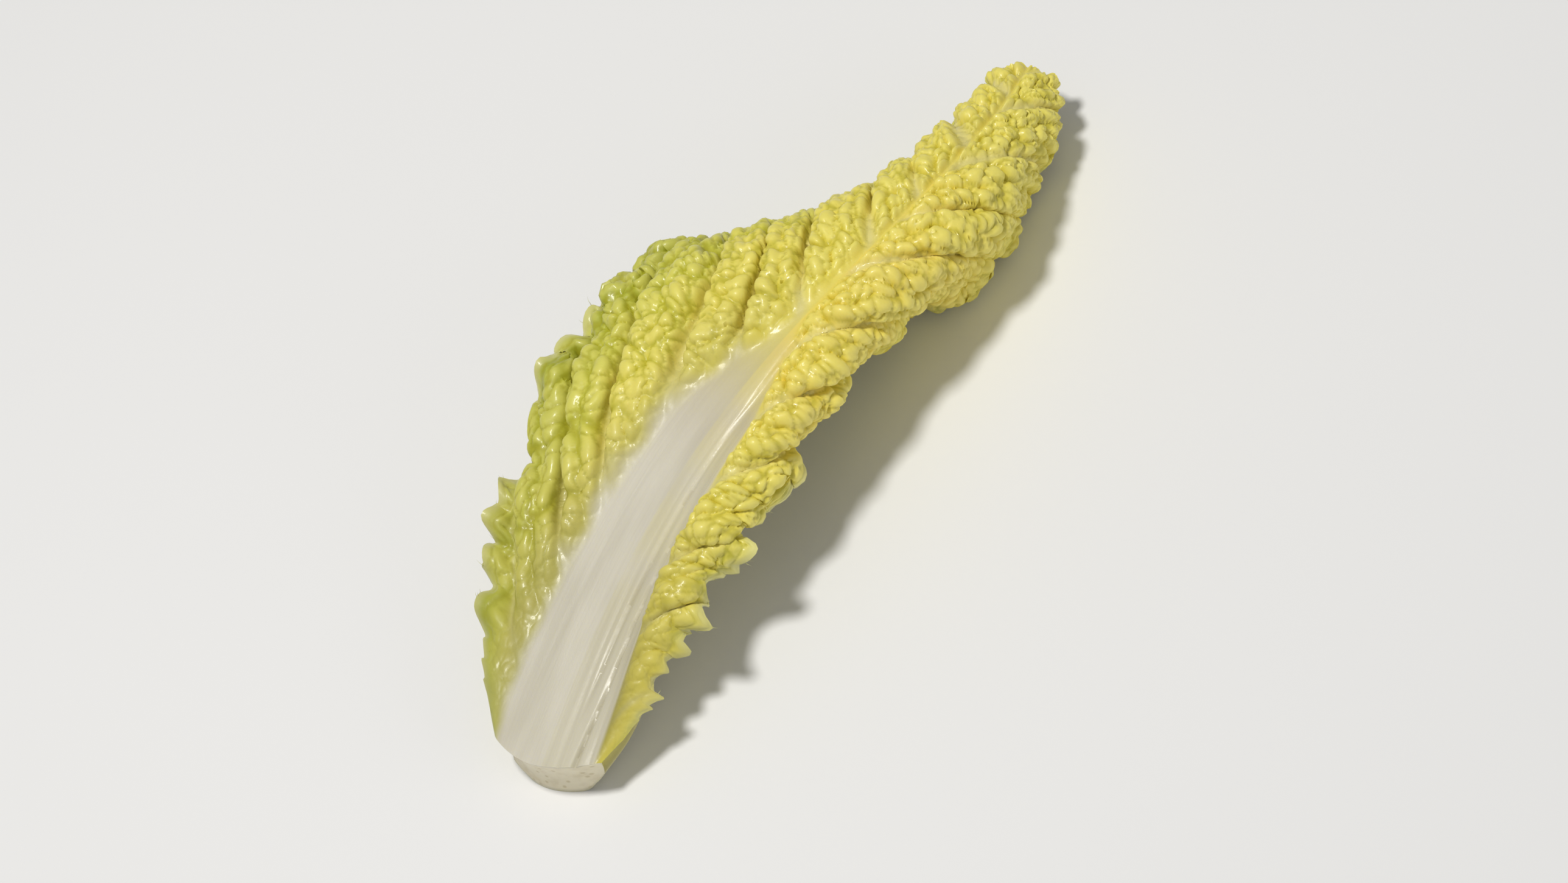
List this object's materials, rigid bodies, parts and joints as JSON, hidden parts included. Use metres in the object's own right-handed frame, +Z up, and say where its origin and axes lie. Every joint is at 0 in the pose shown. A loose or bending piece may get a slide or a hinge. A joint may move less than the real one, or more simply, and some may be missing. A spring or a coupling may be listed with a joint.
{
  "type": "young napa cabbage leaf",
  "caption": "Young napa cabbage leaf lying face up: thick white midrib, blistered yellow-green blade, ruffled toothed margins, one side folded under.",
  "frame": {"origin": "middle of the leaf's bounding box in X and Y, at the height of the floor it lies on", "axes": "+Y runs along the leaf from the cut base to the tip, +Z is up, away from the floor, +X is to the right as seen from above with the tip ahead"},
  "size_m": [0.0504, 0.129, 0.0248],
  "materials": {
    "leaf": "satin"
  },
  "bodies": {
    "root": {"leaf": "leaf"}
  },
  "joints": []
}
